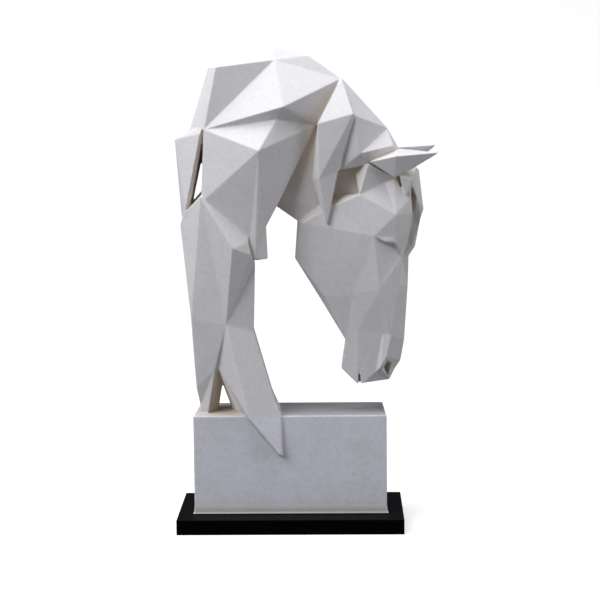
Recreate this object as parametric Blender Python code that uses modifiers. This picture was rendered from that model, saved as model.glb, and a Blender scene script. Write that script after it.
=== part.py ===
"""Faceted horse statue: a white horse bowed over its own block, cast in one, on a black plate.

X runs from the hind side to the nose, -Y is the front and +Z is up. The origin is the
middle of the plate's underside. The horse is folded like paper: each of its forms is a
crease pattern over named corners, and its far side mirrors its near side.
"""

import bmesh
import bpy
from mathutils import Vector
from mathutils.geometry import delaunay_2d_cdt

# Plate, in metres
PLATE_LENGTH = 0.240
PLATE_DEPTH = 0.120
PLATE_THICKNESS = 0.016
PLATE_CHAMFER = 0.0008

# Block
BLOCK_LENGTH = 0.205
BLOCK_DEPTH = 0.075
BLOCK_HEIGHT = 0.106
BLOCK_FRONT_MARGIN = 0.026
BLOCK_DRAFT = 0.0025
BLOCK_FOOT_FLARE = 0.0006
BLOCK_FOOT_HEIGHT = 0.010
BLOCK_LIP_FLARE = 0.0020
BLOCK_LIP_HEIGHT = 0.0025
SEAT_GAP = 0.0003

# Horse
HORSE_HEIGHT = 0.386
HOOF_INSET = 0.0065
TOE_PROUD = 0.0085
TOE_DROP = 0.042
MOUTH_WIDTH = 0.0032
MOUTH_CORE = 0.014
NOSTRIL_DEPTH = 0.009

# The carving's corners are in millimetres of an original whose back stands this high
CARVING_HEIGHT = 386
CARVING_HOOF_X = -96
UNIT = HORSE_HEIGHT / CARVING_HEIGHT
FAR_SETBACK = 0.15

BLOCK_BOTTOM = PLATE_THICKNESS + SEAT_GAP
BLOCK_TOP = BLOCK_BOTTOM + BLOCK_HEIGHT
BLOCK_MIDDLE_Y = -PLATE_DEPTH / 2 + BLOCK_FRONT_MARGIN + BLOCK_DEPTH / 2
HOOF_X = -BLOCK_LENGTH / 2 + HOOF_INSET

BLOCK_HALF = BLOCK_DEPTH / 2 / UNIT
TOE_HALF = (BLOCK_DEPTH / 2 + TOE_PROUD) / UNIT
TOE_UP = -TOE_DROP / UNIT


def place(corner, side):
    """Stand a corner (x, up, half) of the carving in the world; side -1 is the front, 1 the back."""
    x, up, half = corner
    return Vector((
        HOOF_X + (x - CARVING_HOOF_X) * UNIT,
        BLOCK_MIDDLE_Y + side * half * UNIT,
        BLOCK_TOP + up * UNIT,
    ))


def new_collection(name):
    """Add a collection to the scene."""
    collection = bpy.data.collections.new(name)
    bpy.context.scene.collection.children.link(collection)
    return collection


def material(name, colour, roughness):
    """Make a plain painted or cast surface."""
    surface = bpy.data.materials.new(name)
    surface.use_nodes = True
    shader = surface.node_tree.nodes["Principled BSDF"]
    shader.inputs["Base Color"].default_value = (*colour, 1.0)
    shader.inputs["Roughness"].default_value = roughness
    shader.inputs["Metallic"].default_value = 0.0
    surface.diffuse_color = (*colour, 1.0)
    return surface


def add_object(name, shape, collection):
    """Make an object from a bmesh whose faces are turned outwards."""
    bmesh.ops.recalc_face_normals(shape, faces=shape.faces)
    mesh = bpy.data.meshes.new(name)
    shape.to_mesh(mesh)
    shape.free()
    thing = bpy.data.objects.new(name, mesh)
    collection.objects.link(thing)
    return thing


def add_guide(name, shape, collection):
    """Make an object that only serves to join or cut another."""
    guide = add_object(name, shape, collection)
    guide.display_type = "WIRE"
    guide.hide_render = True
    return guide


def is_inside(point, ring):
    """Say whether a point lies within a closed ring, by the even-odd rule."""
    crossings = 0
    for a, b in zip(ring, ring[1:] + ring[:1]):
        if (a.y > point.y) != (b.y > point.y):
            crossings += point.x < a.x + (b.x - a.x) * (point.y - a.y) / (b.y - a.y)
    return crossings % 2 == 1


def crease_triangles(corners, outline, folds):
    """Fill the outline with triangles whose edges keep to the folds."""
    names = list(corners)
    number = {name: n for n, name in enumerate(names)}
    flat = [Vector(corners[name][:2]) for name in names]
    ring = [flat[number[name]] for name in outline]
    creases = [
        (number[a], number[b])
        for line in [*folds, [*outline, outline[0]]]
        for a, b in zip(line, line[1:])
    ]
    points, _, triangles, source, _, _ = delaunay_2d_cdt(flat, creases, [], 0, 1e-5, True)
    crossing = [point for point, origin in zip(points, source) if not origin]
    if crossing:
        raise ValueError(f"folds cross near {crossing}")
    filled = []
    for triangle in triangles:
        middle = sum((points[n] for n in triangle), Vector((0.0, 0.0))) / 3
        if is_inside(middle, ring):
            filled.append([names[source[n][0]] for n in triangle])
    return filled


def folded_form(name, collection, corners, outline, folds, far_setback=0.0):
    """Fold a skin over the corners, mirror it and join both halves along the outline.

    The far skin can stand back towards the tail, by a share of each corner's half width.
    """
    far = {key: (x - far_setback * half, up, half) for key, (x, up, half) in corners.items()}
    sides = {-1: corners, 1: far}
    shape = bmesh.new()
    skin = {
        (side, key): shape.verts.new(place(corner, side))
        for side, half in sides.items()
        for key, corner in half.items()
    }
    for side in sides:
        for triangle in crease_triangles(corners, outline, folds):
            shape.faces.new([skin[side, key] for key in triangle])
    for a, b in zip(outline, outline[1:] + outline[:1]):
        shape.faces.new([skin[-1, a], skin[-1, b], skin[1, b], skin[1, a]])
    bmesh.ops.delete(shape, geom=[v for v in shape.verts if not v.link_faces], context="VERTS")
    bmesh.ops.triangulate(shape, faces=shape.faces)
    return add_guide(name, shape, collection)


def hull_form(name, collection, corners, sides=(-1, 1)):
    """Stretch a convex skin over the corners of one side, or of both sides together."""
    shape = bmesh.new()
    for side in sides:
        for corner in corners:
            shape.verts.new(place(corner, side))
    hull = bmesh.ops.convex_hull(shape, input=shape.verts)
    inner = {item for item in hull["geom_interior"] if isinstance(item, bmesh.types.BMVert)}
    bmesh.ops.delete(shape, geom=list(inner), context="VERTS")
    return add_guide(name, shape, collection)


def torso(collection):
    """The arched back, shoulder and flank, down to the chest's lower edge."""
    corners = {
        "rump": (-82, 366, 8),
        "back_rise": (-41, 383, 3),
        "back_top": (-14, 386, 3),
        "back_fall": (23, 377, 6),
        "crest": (57, 353, 12),
        "under_mane": (39, 309, 15),
        "nape": (30, 305, 19),
        "flank_high": (-10, 224, 39),
        "flank_waist": (-22, 202, 46),
        "flank_low": (-21, 167.5, 40),
        "flank_end": (-34, 165.5, 39),
        "tuck": (-41, 178, 38),
        "elbow": (-90, 226, 39),
        "star": (-86, 302, 36),
        "rib_rim": (-103, 299, 16),
        "rump_fold": (-73, 366, 30),
        "crown": (-13, 373, 15),
        "shoulder": (-3, 325, 52),
        "shadow": (-10, 312, 43),
        "chest": (-28, 281, 65),
    }
    outline = [
        "rump", "back_rise", "back_top", "back_fall", "crest", "under_mane", "nape", "flank_high",
        "flank_waist", "flank_low", "flank_end", "tuck", "elbow", "star", "rib_rim",
    ]
    folds = [
        ("rib_rim", "rump_fold", "star"),
        ("back_rise", "rump_fold", "crown", "back_top"),
        ("back_rise", "crown", "back_fall"),
        ("star", "crown", "crest", "shoulder", "star"),
        ("crown", "shoulder"),
        ("star", "shadow", "shoulder", "nape", "shadow"),
        ("star", "chest", "shadow"),
        ("chest", "nape"),
        ("elbow", "chest", "tuck"),
        ("chest", "flank_end"),
        ("chest", "flank_waist"),
    ]
    return folded_form("torso", collection, corners, outline, folds, FAR_SETBACK)


def rear_band(collection):
    """The strip that runs from the rump down to the thigh, clear of the torso."""
    corners = [
        (-119, 291, 8), (-113, 211, 10), (-90, 298, 34), (-107, 220, 25),
        (-87, 306, 32), (-101, 303, 11), (-110, 204, 19), (-86.5, 300, 28), (-103.5, 221, 19),
    ]
    return hull_form("rear_band", collection, corners)


def legs(collection):
    """The thigh, knee and both hooves; one toe lies over the block's front face."""
    corners = {
        "elbow": (-90, 233, 41),
        "inside_high": (-69, 249, 22),
        "inside_low": (-40, 223, 26),
        "tuck": (-41, 185, 44),
        "groin": (-38, 172, 45),
        "armpit_inner": (-36, 165, 39),
        "armpit": (-34.5, 163, 35),
        "hock_back": (-37, 90, 32),
        "calf": (-15.5, 16, 38),
        "toe_top": (-9, 1, TOE_HALF - 6),
        "toe_end": (-8, TOE_UP, TOE_HALF - 1),
        "toe_wall": (-11, TOE_UP - 2, BLOCK_HALF - 3),
        "heel_wall": (-47, -3, BLOCK_HALF - 3),
        "heel_root": (-52, -9, 28),
        "arch_root": (-59, -9, 4),
        "gap_top": (-73, 29, 3),
        "hoof_inner": (-79, -7, 5),
        "hoof_root": (-89, -7, 21),
        "hoof_rim_root": (-94, -6, 15),
        "hoof_rim": (CARVING_HOOF_X, 8, 18),
        "pastern": (-99.5, 28, 22),
        "shin_rim": (-101.5, 61, 24),
        "hock_rim": (-103.5, 102, 26),
        "thigh_rim": (-114, 201, 16),
        "hip_rim": (-109, 214, 22),
        "knee": (-57, 180, 54),
        "hock": (-66, 98, 37),
        "shin": (-79, 48.5, 25),
        "crotch": (-76, 49, 22),
        "toe_heel": (-41, -3, TOE_HALF),
        "toe_point": (-11, TOE_UP + 2, TOE_HALF),
        "outer_foot": (-19, 14, TOE_HALF - 6),
    }
    outline = [
        "elbow", "inside_high", "inside_low", "tuck", "groin", "armpit_inner", "armpit",
        "hock_back", "calf", "toe_top", "toe_end", "toe_wall", "heel_wall", "heel_root", "arch_root",
        "gap_top", "hoof_inner", "hoof_root", "hoof_rim_root", "hoof_rim", "pastern", "shin_rim",
        "hock_rim", "thigh_rim", "hip_rim",
    ]
    folds = [
        ("elbow", "hock_rim"),
        ("elbow", "hock"),
        ("elbow", "knee", "tuck", "elbow"),
        ("knee", "hock", "groin"),
        ("knee", "groin"),
        ("hock", "armpit"),
        ("hock_rim", "hock", "hock_back"),
        ("hock", "shin", "crotch", "hock"),
        ("hock_rim", "shin", "hoof_root"),
        ("shin_rim", "shin", "pastern"),
        ("shin", "hoof_inner"),
        ("crotch", "gap_top"),
        ("shin", "gap_top"),
        ("crotch", "heel_root"),
        ("crotch", "heel_wall"),
        ("hock", "toe_heel", "toe_point"),
        ("crotch", "toe_heel"),
        ("heel_wall", "toe_heel"),
        ("hock", "outer_foot", "toe_top"),
        ("toe_point", "toe_wall"),
        ("toe_point", "toe_end"),
        ("toe_point", "toe_top"),
        ("toe_heel", "outer_foot"),
        ("outer_foot", "calf"),
    ]
    return folded_form("legs", collection, corners, outline, folds, FAR_SETBACK)


def groin_core(collection):
    """The solid between both sides of the groin, deep behind the flank's lower end."""
    half = 22
    profile = [(-50, 184), (-33, 174), (-37, 162), (-50, 162)]
    corners = [(x, up, half) for x, up in profile]
    return hull_form("groin_core", collection, corners)


def neck(collection):
    """The shaded core of the neck, behind the mane and under the flank."""
    corners = {
        "back_inside": (-25, 360, 6),
        "crest": (56, 350, 7),
        "crest_fall": (104, 299, 4),
        "poll": (115, 278, 6),
        "face_inside": (95, 215, 12),
        "jaw_inside": (30, 195, 11),
        "throat": (9, 205, 12),
        "flank_bottom": (-13, 220, 8),
        "flank_inside": (-34, 260, 12),
        "flank_crease": (-8, 231, 17),
        "jaw_crease": (28, 218, 16),
        "nape": (32, 304, 16),
        "hollow_high": (52, 257, 10),
        "hollow_low": (48, 228, 10),
        "hollow_front": (80, 250, 9),
    }
    outline = [
        "back_inside", "crest", "crest_fall", "poll", "face_inside", "jaw_inside", "throat",
        "flank_bottom", "flank_inside",
    ]
    folds = [
        ("flank_inside", "flank_crease", "jaw_crease", "nape", "flank_crease"),
        ("jaw_crease", "hollow_low", "hollow_high", "nape"),
        ("hollow_low", "hollow_front", "hollow_high"),
        ("flank_crease", "throat", "jaw_crease"),
    ]
    return folded_form("neck", collection, corners, outline, folds)


def mane(collection):
    """The crest of the neck with its long pointed lock on each side."""
    corners = {
        "crest": (57, 354, 14),
        "crest_fall": (105, 301, 8),
        "poll": (116, 281, 8),
        "poll_under": (115, 277, 17),
        "edge_front": (84, 265, 26),
        "edge_middle": (70, 261, 27),
        "step_foot": (55, 259, 26),
        "lock_right": (53, 258, 32),
        "lock_tip": (41, 202, 32),
        "lock_edge": (26, 249, 28),
        "lock_left": (32, 307, 39),
        "lock_top": (69, 317, 41),
        "lock_fold": (33, 250, 38),
        "step_head": (71, 315, 37),
        "brow_fold": (76, 276, 36),
        "poll_fold": (111, 283, 22),
    }
    outline = [
        "crest", "crest_fall", "poll", "poll_under", "edge_front", "edge_middle", "step_foot",
        "lock_right", "lock_tip", "lock_edge", "lock_left",
    ]
    folds = [
        ("lock_left", "lock_top", "crest"),
        ("lock_top", "lock_right"),
        ("lock_left", "lock_fold", "lock_tip"),
        ("lock_top", "lock_fold", "lock_right"),
        ("lock_top", "step_head", "step_foot"),
        ("crest", "step_head", "crest_fall"),
        ("step_head", "brow_fold", "crest_fall"),
        ("brow_fold", "poll_fold", "poll_under"),
        ("crest_fall", "poll_fold", "poll"),
        ("step_foot", "brow_fold", "edge_middle"),
        ("edge_front", "brow_fold"),
    ]
    return folded_form("mane", collection, corners, outline, folds)


def head(collection):
    """The cheek, eye, muzzle and forehead."""
    corners = {
        "jaw_heel": (9.5, 204, 8),
        "jaw_top": (15, 203, 22),
        "jaw_back": (6.5, 165, 11),
        "jaw_edge": (33, 121, 6),
        "chin_notch": (60, 77, 16),
        "lip_back": (55, 46, 11),
        "lip_low": (72, 30, 16),
        "lip_front": (78, 31, 17),
        "nose_low": (106, 34, 12),
        "nose_tip": (112, 45, 8),
        "nose_round": (118, 54, 8),
        "nose_front": (122, 76, 9),
        "bridge": (126, 135, 9),
        "bridge_high": (127, 166, 8),
        "forelock_low": (134, 176, 5),
        "forelock_end": (138, 197, 5),
        "forelock_notch": (140, 207, 6),
        "forelock_front": (143, 215, 5),
        "forelock_high": (138, 257, 6),
        "forelock_top": (135, 260, 8),
        "poll_front": (116, 278, 9),
        "poll_back": (88, 270, 12),
        "strut_top": (70, 260, 12),
        "strut_back": (74, 234, 9),
        "ledge_back": (49, 230, 9),
        "cheek_back": (28, 219, 13),
        "jaw_fold": (39, 123, 20),
        "cheek_rise": (46, 221, 26),
        "cheek": (75, 233, 32),
        "eye": (90, 190, 37),
        "mouth": (67, 127, 26),
        "face_crest": (96, 135, 35),
        "chin": (73, 90, 23),
        "mouth_top": (73, 67, 20),
        "nose": (99, 86, 26),
        "lip_side": (92, 44, 20),
        "nostril_wing": (97, 51, 28),
        "nostril_top": (103, 61, 29),
        "nasal_high": (118, 164, 24),
        "nasal_middle": (117, 137, 24),
        "nasal_low": (108, 84, 28),
        "brow": (113, 212, 33),
        "brow_tip": (123, 188, 25),
        "lid": (101, 184, 35),
        "lid_turn": (112, 182, 31),
        "lid_corner": (112, 188, 31),
        "lid_end": (117, 174, 26),
        "under_lid": (101, 181, 30),
        "under_lid_turn": (111, 178, 25),
        "under_lid_end": (115, 170, 24),
        "brow_shelf": (101, 245, 18),
        "ear_low": (112, 249, 19),
        "ear_back": (84, 264, 31),
        "temple_high": (129, 245, 18),
        "temple": (128, 228, 23),
        "temple_low": (130, 212, 23),
        "valley": (131, 232, 4),
        "valley_low": (131, 206, 4),
        "valley_lower": (127, 185, 6),
        "valley_end": (120, 164, 13),
        "forelock_fold": (136.5, 225, 15),
        "forelock_edge": (131, 177, 9),
    }
    outline = [
        "jaw_heel", "jaw_back", "jaw_edge", "chin_notch", "lip_back", "lip_low", "lip_front",
        "nose_low", "nose_tip", "nose_round", "nose_front", "bridge", "bridge_high",
        "forelock_low", "forelock_end", "forelock_notch", "forelock_front", "forelock_high",
        "forelock_top", "poll_front", "poll_back", "strut_top", "strut_back", "ledge_back",
        "cheek_back",
    ]
    folds = [
        ("jaw_back", "jaw_top", "jaw_fold", "jaw_edge"),
        ("jaw_heel", "jaw_top", "cheek_back"),
        ("jaw_fold", "chin_notch"),
        ("jaw_back", "jaw_fold"),
        ("jaw_top", "cheek_rise", "cheek"),
        ("cheek_back", "cheek_rise", "ledge_back", "cheek"),
        ("strut_back", "cheek", "strut_top"),
        ("cheek_rise", "eye"),
        ("cheek", "eye"),
        ("jaw_top", "eye", "mouth", "jaw_fold", "eye"),
        ("eye", "face_crest", "mouth"),
        ("mouth", "chin_notch", "chin", "mouth"),
        ("chin", "mouth_top", "lip_front"),
        ("chin_notch", "mouth_top", "lip_low"),
        ("chin_notch", "lip_low"),
        ("face_crest", "nose", "lip_side", "lip_front"),
        ("chin", "nose"),
        ("mouth_top", "lip_side"),
        ("nose", "nostril_wing", "nostril_top", "nose"),
        ("lip_side", "nostril_wing"),
        ("lip_side", "nose_low", "nostril_wing"),
        ("nostril_top", "nose_tip"),
        ("nostril_top", "nose_round"),
        ("nose", "nasal_low", "nostril_top"),
        ("face_crest", "nasal_low"),
        ("nasal_high", "nasal_middle", "nasal_low", "nose_round"),
        ("face_crest", "nasal_middle"),
        ("face_crest", "nasal_high"),
        ("eye", "under_lid", "under_lid_turn", "under_lid_end", "nasal_high"),
        ("eye", "lid", "lid_turn", "lid_end"),
        ("lid_turn", "lid_corner", "lid_end"),
        ("lid", "lid_corner", "brow_tip", "lid_end"),
        ("lid_end", "under_lid_end"),
        ("under_lid_turn", "face_crest"),
        ("eye", "brow", "brow_tip"),
        ("brow", "lid_corner"),
        ("eye", "lid_corner"),
        ("cheek", "brow", "temple", "temple_high", "ear_low", "brow"),
        ("brow", "temple_low", "brow_tip"),
        ("temple", "temple_low"),
        ("cheek", "brow_shelf", "ear_low"),
        ("brow", "brow_shelf", "ear_back", "cheek"),
        ("strut_top", "ear_back", "poll_back"),
        ("ear_back", "ear_low"),
        ("temple_high", "valley", "valley_low", "valley_lower", "valley_end", "nasal_high"),
        ("temple", "valley"),
        ("temple_low", "valley_low"),
        ("brow_tip", "valley_lower"),
        ("temple_high", "forelock_fold", "valley_low", "forelock_notch"),
        ("valley", "forelock_fold", "forelock_front"),
        ("forelock_high", "forelock_fold", "forelock_notch"),
        ("valley_low", "forelock_edge", "forelock_end"),
        ("valley_lower", "forelock_edge", "valley_end"),
        ("forelock_edge", "bridge_high"),
        ("valley_end", "bridge_high"),
        ("lid_end", "valley_end"),
    ]
    return folded_form("head", collection, corners, outline, folds)


def ears(collection):
    """Both ears, each a flat-topped dart; the far one points a little higher."""
    ear = [
        (85, 267, 30), (117, 280, 14), (113, 273, 38), (112, 250, 29), (134, 261, 22), (102, 262, 10),
    ]
    tip = (159, 276, 26)
    tip_rise = 6
    far_tip = (tip[0], tip[1] + tip_rise, tip[2])
    hull_form("near_ear", collection, [*ear, tip], sides=(-1,))
    hull_form("far_ear", collection, [*ear, far_tip], sides=(1,))


def forelock_spikes(collection):
    """The short lock of hair that hangs over each temple."""
    spike = [(117, 252, 28), (131, 248, 25), (124, 230, 26), (136, 260, 8), (118, 245, 12)]
    hull_form("forelock_spikes", collection, spike, sides=(-1,))
    hull_form("forelock_spikes_far", collection, spike, sides=(1,))


def slit_cuts(name, collection, mouth, end, core_half):
    """Cut a wedge into both sides, from its open mouth to a point, down to a core."""
    beyond = 50
    corners = [(*point, half) for point in (*mouth, end) for half in (beyond, core_half)]
    hull_form(name, collection, corners, sides=(-1,))
    hull_form(f"{name}_far", collection, corners, sides=(1,))


def mouth_cuts(collection):
    """The slit between the lips, from the chin up to the corner of the mouth."""
    low = (74.4, 26)
    half_width = MOUTH_WIDTH / 2 / UNIT
    mouth = [(low[0] - half_width, low[1]), (low[0] + half_width, low[1])]
    slit_cuts("mouth_cut", collection, mouth, (73.3, 67), MOUTH_CORE / 2 / UNIT)


def forelock_cuts(collection):
    """The crack between the temple and the short lock of hair."""
    core_half = 14
    slit_cuts("forelock_cut", collection, [(113.5, 251), (117, 251)], (122, 229), core_half)


def nostril_cuts(collection):
    """One faceted pit on each side of the nose, open at its lower end."""
    rim = [(97, 47, 28), (103.5, 58.5, 29), (109, 53, 21), (104, 36, 17)]
    beyond = 34
    floor_half = min(half for _, _, half in rim) - NOSTRIL_DEPTH / UNIT
    floor = [(101.5, 48, floor_half), (105.5, 51, floor_half), (104.5, 43, floor_half)]
    corners = [*rim, *((x, up, beyond) for x, up, _ in rim), *floor]
    hull_form("nostril_cut", collection, corners, sides=(-1,))
    hull_form("nostril_cut_far", collection, corners, sides=(1,))


def block(name, collection):
    """The block: a box that narrows towards its back and flares to a thin lip at its foot."""
    front = BLOCK_MIDDLE_Y - BLOCK_DEPTH / 2
    back = BLOCK_MIDDLE_Y + BLOCK_DEPTH / 2
    levels = [
        (BLOCK_BOTTOM, BLOCK_LIP_FLARE),
        (BLOCK_BOTTOM + BLOCK_LIP_HEIGHT, BLOCK_FOOT_FLARE),
        (BLOCK_BOTTOM + BLOCK_FOOT_HEIGHT, 0.0),
        (BLOCK_TOP, 0.0),
    ]
    shape = bmesh.new()
    rings = []
    for height, flare in levels:
        half_front = BLOCK_LENGTH / 2 + flare
        half_back = half_front - BLOCK_DRAFT
        rings.append([
            shape.verts.new((-half_front, front - flare, height)),
            shape.verts.new((half_front, front - flare, height)),
            shape.verts.new((half_back, back + flare, height)),
            shape.verts.new((-half_back, back + flare, height)),
        ])
    for lower, upper in zip(rings, rings[1:]):
        for n in range(4):
            after = (n + 1) % 4
            shape.faces.new([lower[n], lower[after], upper[after], upper[n]])
    shape.faces.new(rings[0])
    shape.faces.new(rings[-1])
    return add_object(name, shape, collection)


def boolean(thing, operation, guides):
    """Join or cut an object with every guide in a collection."""
    step = thing.modifiers.new(operation.title(), "BOOLEAN")
    step.operation = operation
    step.operand_type = "COLLECTION"
    step.collection = guides
    step.solver = "EXACT"


def base_plate(collection):
    """The flat black plate, with its edges just broken."""
    shape = bmesh.new()
    bmesh.ops.create_cube(shape, size=1.0)
    bmesh.ops.scale(shape, vec=(PLATE_LENGTH, PLATE_DEPTH, PLATE_THICKNESS), verts=shape.verts)
    bmesh.ops.translate(shape, vec=(0.0, 0.0, PLATE_THICKNESS / 2), verts=shape.verts)
    plate = add_object("base_plate", shape, collection)
    edge = plate.modifiers.new("Chamfer", "BEVEL")
    edge.width = PLATE_CHAMFER
    edge.segments = 1
    return plate


def horse_and_block(collection, forms, cuts):
    """The white casting: the block with every form of the horse joined to it."""
    torso(forms)
    rear_band(forms)
    legs(forms)
    groin_core(forms)
    neck(forms)
    mane(forms)
    head(forms)
    ears(forms)
    forelock_spikes(forms)
    mouth_cuts(cuts)
    forelock_cuts(cuts)
    nostril_cuts(cuts)
    casting = block("horse_and_block", collection)
    boolean(casting, "UNION", forms)
    boolean(casting, "DIFFERENCE", cuts)
    return casting


def main():
    """Clear the scene and build both pieces."""
    for thing in list(bpy.data.objects):
        bpy.data.objects.remove(thing, do_unlink=True)
    statue = new_collection("origami_horse_statue")
    forms = new_collection("horse_forms")
    cuts = new_collection("horse_cuts")
    casting = horse_and_block(statue, forms, cuts)
    casting.data.materials.append(material("white_resin", (0.78, 0.77, 0.76), 0.5))
    plate = base_plate(statue)
    plate.data.materials.append(material("black_lacquer", (0.012, 0.012, 0.013), 0.3))


main()
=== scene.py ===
"""A folded horse statue dressed for the studio: soft-edged white casting on a black plate.

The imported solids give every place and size. The casting and the plate are each made again
from their solid with the softened edges and the uneven surface of the real material, and
stand on a pale sweep of paper under soft light.
"""

from __future__ import annotations

import logging
import math
from dataclasses import dataclass
from enum import Enum
from typing import Any

import bmesh
import bpy
from mathutils import Matrix, Vector


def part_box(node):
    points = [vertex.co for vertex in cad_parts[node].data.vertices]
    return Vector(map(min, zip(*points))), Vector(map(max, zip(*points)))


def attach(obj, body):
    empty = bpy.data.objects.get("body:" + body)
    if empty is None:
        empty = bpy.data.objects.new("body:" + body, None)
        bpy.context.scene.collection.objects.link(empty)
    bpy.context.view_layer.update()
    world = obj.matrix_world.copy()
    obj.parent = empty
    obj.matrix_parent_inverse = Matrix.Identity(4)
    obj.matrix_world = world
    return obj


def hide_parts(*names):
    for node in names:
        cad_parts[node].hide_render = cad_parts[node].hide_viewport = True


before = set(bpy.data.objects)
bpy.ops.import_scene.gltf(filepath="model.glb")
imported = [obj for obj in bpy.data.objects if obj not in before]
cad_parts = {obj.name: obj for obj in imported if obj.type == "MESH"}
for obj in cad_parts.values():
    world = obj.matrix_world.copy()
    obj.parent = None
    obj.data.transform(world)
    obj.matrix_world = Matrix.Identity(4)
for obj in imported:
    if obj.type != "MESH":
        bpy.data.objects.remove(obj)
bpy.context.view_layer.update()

Colour = tuple[float, float, float]
Point = tuple[float, float, float]
Operand = Any

LOG = logging.getLogger("horse_statue")
RIDGE = "ridge"
BODY = "root"


class Math(Enum):
    """The Math node operations that shader expressions use."""

    ADD = "ADD"
    SUBTRACT = "SUBTRACT"
    MULTIPLY = "MULTIPLY"
    DIVIDE = "DIVIDE"
    POWER = "POWER"
    MINIMUM = "MINIMUM"
    MAXIMUM = "MAXIMUM"


class Value:
    """One number of a shader, which Python arithmetic turns into Math nodes."""

    def __init__(self, recipe: Recipe, socket: bpy.types.NodeSocket) -> None:
        """Keep the socket and the recipe it belongs to.

        Args:
            recipe: The recipe that new nodes are added to.
            socket: The output socket that carries the number.
        """
        self.recipe = recipe
        self.socket = socket

    def _with(self, operation: Math, *operands: Operand) -> Value:
        """Add one Math node over the operands.

        Args:
            operation: What the node works out.
            operands: Values or plain numbers, in the node's order.

        Returns:
            The node's result.
        """
        sockets = dict(enumerate(operands))
        node = self.recipe.node("ShaderNodeMath", {"operation": operation.value}, sockets)
        return Value(self.recipe, node.outputs[0])

    def __add__(self, other: Operand) -> Value:
        """Sum."""
        return self._with(Math.ADD, self, other)

    def __radd__(self, other: Operand) -> Value:
        """Sum with a plain number first."""
        return self._with(Math.ADD, other, self)

    def __sub__(self, other: Operand) -> Value:
        """Difference."""
        return self._with(Math.SUBTRACT, self, other)

    def __rsub__(self, other: Operand) -> Value:
        """Difference from a plain number."""
        return self._with(Math.SUBTRACT, other, self)

    def __mul__(self, other: Operand) -> Value:
        """Product."""
        return self._with(Math.MULTIPLY, self, other)

    def __rmul__(self, other: Operand) -> Value:
        """Product with a plain number first."""
        return self._with(Math.MULTIPLY, other, self)

    def __truediv__(self, other: Operand) -> Value:
        """Quotient."""
        return self._with(Math.DIVIDE, self, other)

    def __pow__(self, other: Operand) -> Value:
        """Power."""
        return self._with(Math.POWER, self, other)

    def limited(self, low: float = 0.0, high: float = 1.0) -> Value:
        """Keep the number between two bounds.

        Args:
            low: The least it may be.
            high: The most it may be.

        Returns:
            The bounded value.
        """
        return self._with(Math.MINIMUM, self._with(Math.MAXIMUM, self, low), high)

    def ramp(self, start: float, end: float) -> Value:
        """Rise from 0 to 1 as the number goes from start to end.

        Args:
            start: Where the rise begins.
            end: Where it is complete; below start, the ramp falls instead.

        Returns:
            The ramp, kept between 0 and 1.
        """
        return ((self - start) / (end - start)).limited()


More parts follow.
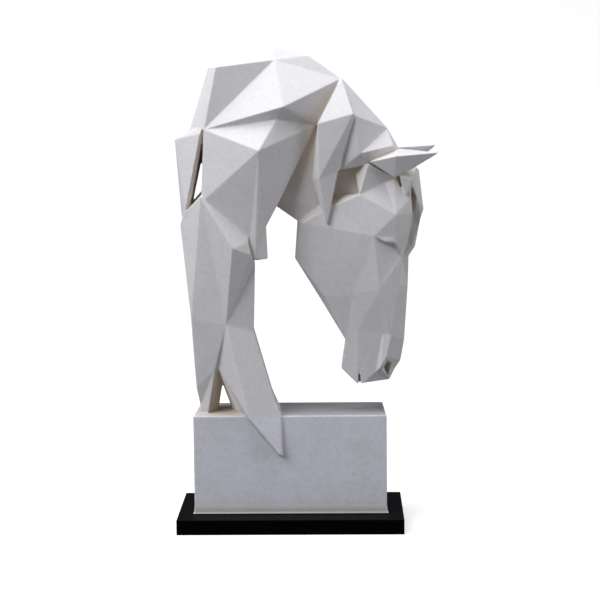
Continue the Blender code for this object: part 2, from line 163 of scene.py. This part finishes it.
class Recipe:
    """A material under construction: its node tree and its Principled shader."""

    def __init__(self, name: str, preview: Colour) -> None:
        """Start a material.

        Args:
            name: The material's name.
            preview: Its plain colour outside renders.
        """
        self.material = bpy.data.materials.new(name)
        self.material.use_nodes = True
        self.material.diffuse_color = (*preview, 1.0)
        self.tree = self.material.node_tree
        self.surface = self.tree.nodes["Principled BSDF"]

    def node(
        self,
        kind: str,
        settings: dict[str, Any] | None = None,
        sockets: dict[str | int, Any] | None = None,
    ) -> bpy.types.Node:
        """Add a node, its settings first and then its sockets.

        Args:
            kind: Blender's type name of the node.
            settings: Attributes of the node, such as an operation.
            sockets: Input values or links, by the socket's name or number.

        Returns:
            The new node.
        """
        node = self.tree.nodes.new(kind)
        for key, value in (settings or {}).items():
            setattr(node, key, value)
        for key, value in (sockets or {}).items():
            self.feed(node.inputs[key], value)
        return node

    def feed(self, socket: bpy.types.NodeSocket, value: Any) -> None:
        """Set an input socket to a constant or link it.

        Args:
            socket: The input.
            value: A Value, an output socket or a constant.
        """
        source = value.socket if isinstance(value, Value) else value
        if isinstance(source, bpy.types.NodeSocket):
            self.tree.links.new(source, socket)
        else:
            socket.default_value = source

    def place(self) -> bpy.types.NodeSocket:
        """The point's own coordinates, in metres."""
        return self.node("ShaderNodeTexCoord").outputs["Object"]

    def stretched(self, scale: Point) -> bpy.types.NodeSocket:
        """The point's coordinates, stretched along the axes.

        Args:
            scale: The factor along X, Y and Z.

        Returns:
            The stretched coordinates.
        """
        node = self.node(
            "ShaderNodeVectorMath", {"operation": "MULTIPLY"}, {0: self.place(), 1: scale}
        )
        return node.outputs["Vector"]

    def noise(
        self, scale: float, detail: float = 2.0, roughness: float = 0.5, at: Any = None
    ) -> Value:
        """Smooth noise about 0, from about -0.5 to 0.5.

        Args:
            scale: Bumps per metre.
            detail: Octaves.
            roughness: How strong the finer octaves are.
            at: Coordinates to use in place of the point's own.

        Returns:
            The noise.
        """
        sockets = {
            "Vector": at or self.place(), "Scale": scale, "Detail": detail, "Roughness": roughness,
        }
        node = self.node("ShaderNodeTexNoise", {"noise_dimensions": "3D"}, sockets)
        return Value(self, node.outputs["Fac"]) - 0.5

    def pits(self, scale: float, size: float) -> Value:
        """Small round pits, 1 in their middle and 0 around them.

        Args:
            scale: Cells per metre.
            size: How much of a cell a pit takes, from 0 to 1.

        Returns:
            The pits.
        """
        sockets = {"Vector": self.place(), "Scale": scale}
        node = self.node("ShaderNodeTexVoronoi", {"feature": "F1"}, sockets)
        return Value(self, node.outputs["Distance"]).ramp(size, size * 0.4)

    def shelter(self, reach: float) -> Value:
        """How closed in a point is: 0 in the open, 1 deep inside a fold.

        Args:
            reach: How far around the point counts, in metres.

        Returns:
            The shelter.
        """
        node = self.node("ShaderNodeAmbientOcclusion", {"samples": 6}, {"Distance": reach})
        return 1.0 - Value(self, node.outputs["AO"])

    def attribute(self, name: str) -> Value:
        """A number kept at the mesh's vertices."""
        node = self.node("ShaderNodeAttribute", {"attribute_name": name})
        return Value(self, node.outputs["Fac"])

    def coordinates(self) -> tuple[Value, Value, Value]:
        """The point's own coordinates one by one, in metres."""
        split = self.node("ShaderNodeSeparateXYZ", None, {0: self.place()})
        return tuple(Value(self, split.outputs[axis]) for axis in "XYZ")

    def facing_up(self) -> Value:
        """The upward share of the surface's direction, from -1 to 1."""
        normal = self.node("ShaderNodeNewGeometry").outputs["Normal"]
        split = self.node("ShaderNodeSeparateXYZ", None, {0: normal})
        return Value(self, split.outputs["Z"])

    def mixed(self, factor: Value, first: Any, second: Any) -> bpy.types.NodeSocket:
        """Blend two colours.

        Args:
            factor: 0 for the first colour, 1 for the second.
            first: A colour or an output socket.
            second: A colour or an output socket.

        Returns:
            The blended colour.
        """
        node = self.node("ShaderNodeMix", {"data_type": "RGBA", "clamp_factor": True})
        ends = [(*c, 1.0) if isinstance(c, tuple) else c for c in (first, second)]
        for number, value in zip((0, 6, 7), (factor, *ends)):
            self.feed(node.inputs[number], value)
        return node.outputs[2]

    def bump(self, height: Value, distance: float) -> None:
        """Raise the surface by a height map.

        Args:
            height: The map.
            distance: Metres of relief per unit of height.
        """
        sockets = {"Height": height, "Distance": distance}
        node = self.node("ShaderNodeBump", None, sockets)
        self.feed(self.surface.inputs["Normal"], node.outputs["Normal"])

    def finish(self, **sockets: Any) -> bpy.types.Material:
        """Feed the Principled shader, whose socket names are written with underscores.

        Args:
            sockets: A value, colour or link for each socket.

        Returns:
            The finished material.
        """
        for name, value in sockets.items():
            given = (*value, 1.0) if isinstance(value, tuple) else value
            self.feed(self.surface.inputs[name.replace("_", " ")], given)
        return self.material


@dataclass(frozen=True)
class BlockPlace:
    """Where the block's faces lie, in metres: its foot, top, front and back."""

    foot: float
    top: float
    front: float
    back: float

    @classmethod
    def within(cls, solid: bpy.types.Mesh, height: float, lip: float) -> BlockPlace:
        """Find the block by the lowest corners of the solid it belongs to.

        Args:
            solid: The casting's mesh, in the row frame.
            height: The block's height.
            lip: How far the thin lip at the foot stands out.

        Returns:
            The block's place.
        """
        foot = min(vertex.co.z for vertex in solid.vertices)
        lowest = [vertex.co.y for vertex in solid.vertices if vertex.co.z < foot + lip / 2]
        return cls(foot, foot + height, min(lowest) + lip, max(lowest) - lip)


@dataclass(frozen=True)
class CastResin:
    """Matte, faintly mottled white resin, with painted shade in the folds and on the block's top.

    The lengths are in metres. The block has a cooler tint, painted brown shade lies under the
    hooves, painted grey shade along its foot, and painted shade on its top darkest at the back.
    """

    name: str = "white_resin"
    body: Colour = (0.800, 0.796, 0.838)
    block_tint: Colour = (0.815, 0.830, 0.960)
    mottle: Colour = (0.690, 0.685, 0.715)
    # Warm painted shade for sheltered folds.
    hollow_shade: Colour = (0.760, 0.665, 0.550)
    # Painted highlight on ridges.
    ridge: Colour = (0.880, 0.876, 0.890)
    # Painted shade for creases and the block's foot; also the colour of the pores.
    shade_and_speck: Colour = (0.420, 0.400, 0.385)
    # Dark painted shade on the block's top.
    dust_and_top_shade: Colour = (0.085, 0.085, 0.095)
    # Brown painted shade under the hooves.
    hoof_shade: Colour = (0.400, 0.345, 0.275)
    roughness: float = 0.56
    hollow_shade_reach: float = 0.045
    tint_above: float = 0.003
    tint_below: float = 0.002
    hooves_end: float = -0.010
    hooves_fade: float = 0.030
    top_shade_margin: float = 0.010
    hoof_shade_height: float = 0.035
    hoof_shade_low: float = 0.004
    hoof_shade_full: float = 0.001
    # Height of the painted shade along the block's foot.
    block_foot_shade_height: float = 0.014
    block_foot_shade_full: float = 0.003
    lip_height: float = 0.0025
    pore_depth: float = 0.00012
    wave_depth: float = 0.00035

    def material(self, block: BlockPlace) -> bpy.types.Material:
        """Mix the resin's colour, sheen and surface.

        Args:
            block: Where the block's faces lie.

        Returns:
            The finished material.
        """
        recipe = Recipe(self.name, self.body)
        clouds = recipe.noise(22.0, 3.0)
        grain = recipe.noise(900.0, 2.0, 0.6)
        blotch = recipe.noise(220.0, 2.0, 0.6)
        sanding = recipe.noise(60.0, 3.0, 0.6, recipe.stretched((1.0, 1.0, 9.0)))
        pores = recipe.pits(160.0, 0.10)
        edge = recipe.attribute(RIDGE)

        across, along, height = recipe.coordinates()
        on_block = height.ramp(block.top + self.tint_above, block.top - self.tint_below)
        base = recipe.mixed(on_block, self.body, self.block_tint)
        mottling = clouds * 1.2 + grain * 1.3 + blotch * 1.3 + 0.25
        colour = recipe.mixed(mottling.limited(), base, self.mottle)

        # Warm painted shade where the surface is closed in; the same share also roughens the
        # surface there.
        sheltered = recipe.shelter(self.hollow_shade_reach)
        hollow_shade_share = (sheltered.ramp(0.18, 0.75) * (0.85 + clouds)).limited()
        colour = recipe.mixed(hollow_shade_share * 0.9, colour, self.hollow_shade)

        # Dark painted shade on the block's top, darker towards the back and kept clear of the
        # hooves.
        lying = recipe.facing_up().ramp(0.90, 0.99) * on_block
        clear_of_hooves = across.ramp(self.hooves_end - self.hooves_fade, self.hooves_end)
        darker_to_back = along.ramp(block.front, block.back - self.top_shade_margin) ** 0.6 * clear_of_hooves
        dust_and_top_shade_share = (lying * (0.40 + darker_to_back * 0.85 + clouds * 0.2)).limited()
        colour = recipe.mixed(dust_and_top_shade_share * clear_of_hooves, colour, self.dust_and_top_shade)

        # Brown painted shade under the hooves, where they stand closed in on the block.
        underfoot = height.ramp(block.top + self.hoof_shade_height, block.top) * height.ramp(
            block.top - self.hoof_shade_low, block.top - self.hoof_shade_full
        )
        hoof_shade = underfoot * sheltered.ramp(0.10, 0.60) * (0.8 + clouds) * (1.0 - lying * 0.8)
        colour = recipe.mixed(hoof_shade.limited() * 0.85, colour, self.hoof_shade)

        # Painted shade along the block's foot, above its lip and off its edges.
        block_foot_shade = height.ramp(block.foot + self.block_foot_shade_height, block.foot + self.block_foot_shade_full) ** 2.0
        block_foot_shade = block_foot_shade * (1.0 - edge.ramp(0.02, 0.10))
        block_foot_shade = block_foot_shade * height.ramp(block.foot, block.foot + self.lip_height)
        colour = recipe.mixed(block_foot_shade * 0.90, colour, self.shade_and_speck)

        # Painted highlight on ridges.
        colour = recipe.mixed(edge.ramp(0.05, 0.45) * 0.55, colour, self.ridge)
        # Painted shade in creases.
        colour = recipe.mixed(edge.ramp(-0.05, -0.45) * 0.45, colour, self.shade_and_speck)
        colour = recipe.mixed(pores * 0.35, colour, self.shade_and_speck)

        roughness = self.roughness + clouds * 0.16 + grain * 0.10 + hollow_shade_share * 0.15
        relief = sanding * 0.35 + grain * 0.7 + blotch * 1.6 - pores * 1.2
        wave = clouds * (self.wave_depth / self.pore_depth)
        recipe.bump(relief + wave, self.pore_depth)
        return recipe.finish(Base_Color=colour, Roughness=roughness.limited(0.3, 0.9))


@dataclass(frozen=True)
class BlackLacquer:
    """Black lacquer on a board: satin, with fine dust and edges rubbed slightly grey."""

    name: str = "black_lacquer"
    body: Colour = (0.0010, 0.0010, 0.0016)
    # Fine dust on the plate's top.
    dust_and_top_shade: Colour = (0.0070, 0.0075, 0.0095)
    rubbed: Colour = (0.0045, 0.0048, 0.0058)
    roughness: float = 0.45
    gloss: float = 0.035
    relief: float = 0.00006

    def material(self) -> bpy.types.Material:
        """Mix the lacquer's colour, sheen and surface."""
        recipe = Recipe(self.name, self.body)
        clouds = recipe.noise(26.0, 4.0)
        orange_peel = recipe.noise(420.0, 2.0)
        specks = recipe.pits(300.0, 0.09)
        hairs = recipe.noise(40.0, 2.0, 0.7, recipe.stretched((1.0, 22.0, 22.0)))
        edge = recipe.attribute(RIDGE)

        lying = recipe.facing_up().ramp(0.5, 0.95)
        dust_and_top_shade_share = lying * (0.45 + clouds * 1.4 + orange_peel * 0.6).limited()
        colour = recipe.mixed(dust_and_top_shade_share, self.body, self.dust_and_top_shade)
        colour = recipe.mixed(specks * lying * 0.6, colour, self.rubbed)
        colour = recipe.mixed(edge.ramp(0.05, 0.5) * (0.5 + hairs).limited(), colour, self.rubbed)

        roughness = self.roughness + clouds * 0.12 + dust_and_top_shade_share * 0.12 + hairs * 0.05
        recipe.bump(orange_peel + hairs * 0.3, self.relief)
        return recipe.finish(
            Base_Color=colour, Roughness=roughness.limited(0.25, 0.8), Specular_IOR_Level=self.gloss
        )


@dataclass(frozen=True)
class PaperSweep:
    """Pale matte studio paper."""

    name: str = "studio_paper"
    body: Colour = (0.86, 0.86, 0.86)
    fibre: Colour = (0.83, 0.83, 0.83)
    glow: Colour = (1.0, 1.0, 1.0)
    glow_strength: float = 0.46

    def material(self) -> bpy.types.Material:
        """Mix the paper's colour."""
        recipe = Recipe(self.name, self.body)
        fibres = recipe.noise(300.0, 3.0)
        colour = recipe.mixed((0.5 + fibres).limited(), self.body, self.fibre)
        return recipe.finish(
            Base_Color=colour,
            Roughness=0.9,
            Specular_IOR_Level=0.1,
            Emission_Color=self.glow,
            Emission_Strength=self.glow_strength,
        )


def add_piece(name: str, mesh: bpy.types.Mesh) -> bpy.types.Object:
    """Put a mesh in the scene as a piece of its own.

    Args:
        name: The piece's name.
        mesh: Its mesh, in the row frame.

    Returns:
        The new object.
    """
    mesh.name = name
    piece = bpy.data.objects.new(name, mesh)
    bpy.context.scene.collection.objects.link(piece)
    return piece


def with_modifiers_applied(piece: bpy.types.Object) -> bpy.types.Mesh:
    """The mesh that a piece shows, with every modifier worked in.

    Args:
        piece: An object with modifiers.

    Returns:
        A new mesh.
    """
    graph = bpy.context.evaluated_depsgraph_get()
    return bpy.data.meshes.new_from_object(piece.evaluated_get(graph), depsgraph=graph)


def triangle_count(mesh: bpy.types.Mesh) -> int:
    """How many triangles a mesh comes to."""
    return sum(len(face.vertices) - 2 for face in mesh.polygons)


def mark_ridges(mesh: bpy.types.Mesh) -> None:
    """Keep at each vertex how sharply the surface turns: above 0 on ridges, below in creases.

    Args:
        mesh: The mesh that gets the attribute.
    """
    shape = bmesh.new()
    shape.from_mesh(mesh)
    turns = []
    for vertex in shape.verts:
        ways = [edge.other_vert(vertex).co - vertex.co for edge in vertex.link_edges]
        lean = sum((way.normalized().dot(vertex.normal) for way in ways), 0.0)
        turns.append(-lean / max(len(ways), 1))
    shape.free()
    layer = mesh.attributes.new(RIDGE, "FLOAT", "POINT")
    layer.data.foreach_set("value", turns)


@dataclass
class HorseCasting:
    """The horse and its block, cast in one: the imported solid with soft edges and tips."""

    node: str = "horse_and_block"
    name: str = "horse_and_block_casting"
    finish: CastResin = CastResin()
    grid: float = 0.0008
    soften_passes: int = 2
    soften_share: float = 0.5
    most_triangles: int = 190_000
    block_height: float = 0.106
    block_lip: float = 0.002
    flatness: int = 60

    def soften(self) -> bpy.types.Mesh:
        """Recast the solid on a fine grid and round its edges.

        Returns:
            The softened mesh, under the triangle budget.
        """
        draft = add_piece("casting_draft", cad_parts[self.node].data.copy())
        recast = draft.modifiers.new("Recast", "REMESH")
        recast.mode = "VOXEL"
        recast.voxel_size = self.grid
        recast.use_smooth_shade = True
        round_off = draft.modifiers.new("Round", "SMOOTH")
        round_off.factor = self.soften_share
        round_off.iterations = self.soften_passes
        dense = with_modifiers_applied(draft)
        draft.modifiers.clear()
        draft.data = dense
        thin = draft.modifiers.new("Thin", "DECIMATE")
        thin.ratio = min(1.0, self.most_triangles / triangle_count(dense))
        mesh = with_modifiers_applied(draft)
        bpy.data.objects.remove(draft)
        return mesh

    def build(self) -> bpy.types.Object:
        """Make the casting and let it stand for its solid."""
        mesh = self.soften()
        mark_ridges(mesh)
        piece = add_piece(self.name, mesh)
        flats = piece.modifiers.new("Flats", "WEIGHTED_NORMAL")
        flats.mode = "FACE_AREA"
        flats.weight = self.flatness
        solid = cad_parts[self.node].data
        block = BlockPlace.within(solid, self.block_height, self.block_lip)
        mesh.materials.clear()
        mesh.materials.append(self.finish.material(block))
        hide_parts(self.node)
        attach(piece, BODY)
        return piece


@dataclass
class BasePlate:
    """The black plate, its edges eased and lacquered over."""

    node: str = "base_plate"
    name: str = "lacquered_plate"
    finish: BlackLacquer = BlackLacquer()
    ease: float = 0.0007
    ease_steps: int = 4
    flatness: int = 100

    def build(self) -> bpy.types.Object:
        """Make the plate to its solid's size and let it stand for it."""
        low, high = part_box(self.node)
        shape = bmesh.new()
        bmesh.ops.create_cube(shape, size=1.0)
        bmesh.ops.scale(shape, vec=high - low, verts=shape.verts)
        bmesh.ops.translate(shape, vec=(low + high) / 2, verts=shape.verts)
        bmesh.ops.bevel(
            shape, geom=shape.edges[:], offset=self.ease, segments=self.ease_steps,
            profile=0.5, affect="EDGES",
        )
        mesh = bpy.data.meshes.new(self.name)
        shape.to_mesh(mesh)
        shape.free()
        mesh.shade_smooth()
        mark_ridges(mesh)
        piece = add_piece(self.name, mesh)
        flats = piece.modifiers.new("Flats", "WEIGHTED_NORMAL")
        flats.weight = self.flatness
        mesh.materials.append(self.finish.material())
        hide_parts(self.node)
        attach(piece, BODY)
        return piece


@dataclass
class Sweep:
    """The pale paper that lies under the statue and rises behind it."""

    name: str = "studio_sweep"
    finish: PaperSweep = PaperSweep()
    half_width: float = 3.2
    front: float = -3.0
    back: float = 2.2
    bend: float = 0.9
    rise: float = 3.0
    bend_steps: int = 24

    def profile(self) -> list[tuple[float, float]]:
        """The sweep's section, from the front to the top, as Y and Z."""
        centre = (self.back - self.bend, self.bend)
        quarter = math.pi / 2
        arc = [
            (
                centre[0] + self.bend * math.sin(quarter * n / self.bend_steps),
                centre[1] - self.bend * math.cos(quarter * n / self.bend_steps),
            )
            for n in range(self.bend_steps + 1)
        ]
        return [(self.front, 0.0), *arc, (self.back, self.rise)]

    def build(self) -> bpy.types.Object:
        """Lay the paper."""
        shape = bmesh.new()
        rows = [
            [shape.verts.new((side * self.half_width, y, z)) for side in (-1, 1)]
            for y, z in self.profile()
        ]
        for (a, b), (c, d) in zip(rows, rows[1:]):
            shape.faces.new([a, b, d, c])
        mesh = bpy.data.meshes.new(self.name)
        shape.to_mesh(mesh)
        shape.free()
        mesh.shade_smooth()
        sheet = add_piece(self.name, mesh)
        mesh.materials.append(self.finish.material())
        sheet.visible_diffuse = False
        sheet.visible_glossy = False
        return sheet


@dataclass(frozen=True)
class Softbox:
    """A square soft light that faces the statue."""

    name: str
    azimuth: float
    elevation: float
    power: float
    size: float = 1.3
    distance: float = 2.2
    colour: Colour = (1.0, 1.0, 1.0)
    aim: Point = (0.0, 0.0, 0.25)

    def build(self) -> bpy.types.Object:
        """Hang the light at its azimuth, counted from the front towards the right."""
        turn, lift = math.radians(self.azimuth), math.radians(self.elevation)
        away = Vector((
            math.sin(turn) * math.cos(lift), -math.cos(turn) * math.cos(lift), math.sin(lift),
        ))
        light = bpy.data.lights.new(self.name, "AREA")
        light.size = self.size
        light.energy = self.power
        light.color = self.colour
        lamp = bpy.data.objects.new(self.name, light)
        bpy.context.scene.collection.objects.link(lamp)
        lamp.location = Vector(self.aim) + away * self.distance
        lamp.rotation_euler = away.to_track_quat("Z", "Y").to_euler()
        return lamp


@dataclass(frozen=True)
class SkyDome:
    """The even light of the room."""

    strength: float = 0.135
    colour: Colour = (1.0, 1.0, 1.0)

    def build(self) -> bpy.types.World:
        """Light the room."""
        room = bpy.data.worlds.new("room")
        room.use_nodes = True
        background = room.node_tree.nodes["Background"]
        background.inputs["Color"].default_value = (*self.colour, 1.0)
        background.inputs["Strength"].default_value = self.strength
        bpy.context.scene.world = room
        return room


@dataclass(frozen=True)
class StudioCamera:
    """The camera of the photograph: its place in metres and its angles in radians."""

    place: Point = (0.052468, -1.797447, 0.482725)
    down: float = 0.133510
    left: float = 0.022908
    roll: float = -0.010067
    focal_share: float = 1699.25 / 600.0
    sensor: float = 36.0
    nearest: float = 0.05
    farthest: float = 30.0

    def build(self) -> bpy.types.Object:
        """Stand the camera and look through it."""
        ahead = Vector((
            -math.sin(self.left) * math.cos(self.down),
            math.cos(self.left) * math.cos(self.down),
            -math.sin(self.down),
        ))
        level = Vector((math.cos(self.left), math.sin(self.left), 0.0))
        above = level.cross(ahead)
        right = math.cos(self.roll) * level + math.sin(self.roll) * above
        up = math.cos(self.roll) * above - math.sin(self.roll) * level
        lens = bpy.data.cameras.new("camera")
        lens.sensor_width = self.sensor
        lens.lens = self.focal_share * self.sensor
        lens.clip_start = self.nearest
        lens.clip_end = self.farthest
        camera = bpy.data.objects.new("camera", lens)
        bpy.context.scene.collection.objects.link(camera)
        columns = Matrix((right, up, -ahead)).transposed()
        camera.matrix_world = Matrix.Translation(self.place) @ columns.to_4x4()
        bpy.context.scene.camera = camera
        return camera


@dataclass
class Studio:
    """The camera, the paper and the lights."""

    camera: StudioCamera = StudioCamera()
    sky: SkyDome = SkyDome()
    lights: tuple[Softbox, ...] = (
        Softbox("overhead", 0.0, 90.0, 31.0),
        Softbox("key", -45.0, 40.0, 26.5),
        Softbox("left_side", -90.0, 40.0, 10.5),
        Softbox("left_low", -75.0, 8.0, 2.0),
        Softbox("right_low", 75.0, 8.0, 10.5),
        Softbox("right_rim", 110.0, 8.0, 4.0),
    )

    def build(self) -> None:
        """Set up the studio with plain display colours."""
        self.camera.build()
        self.sky.build()
        Sweep().build()
        for light in self.lights:
            light.build()
        bpy.context.scene.view_settings.view_transform = "Standard"


def main() -> None:
    """Build the statue and the studio, and report each piece."""
    logging.basicConfig(level=logging.INFO, format="%(message)s")
    for part in (HorseCasting(), BasePlate()):
        piece = part.build()
        LOG.info("%s: %d triangles", piece.name, triangle_count(piece.data))
    Studio().build()


if __name__ == "__main__":
    main()
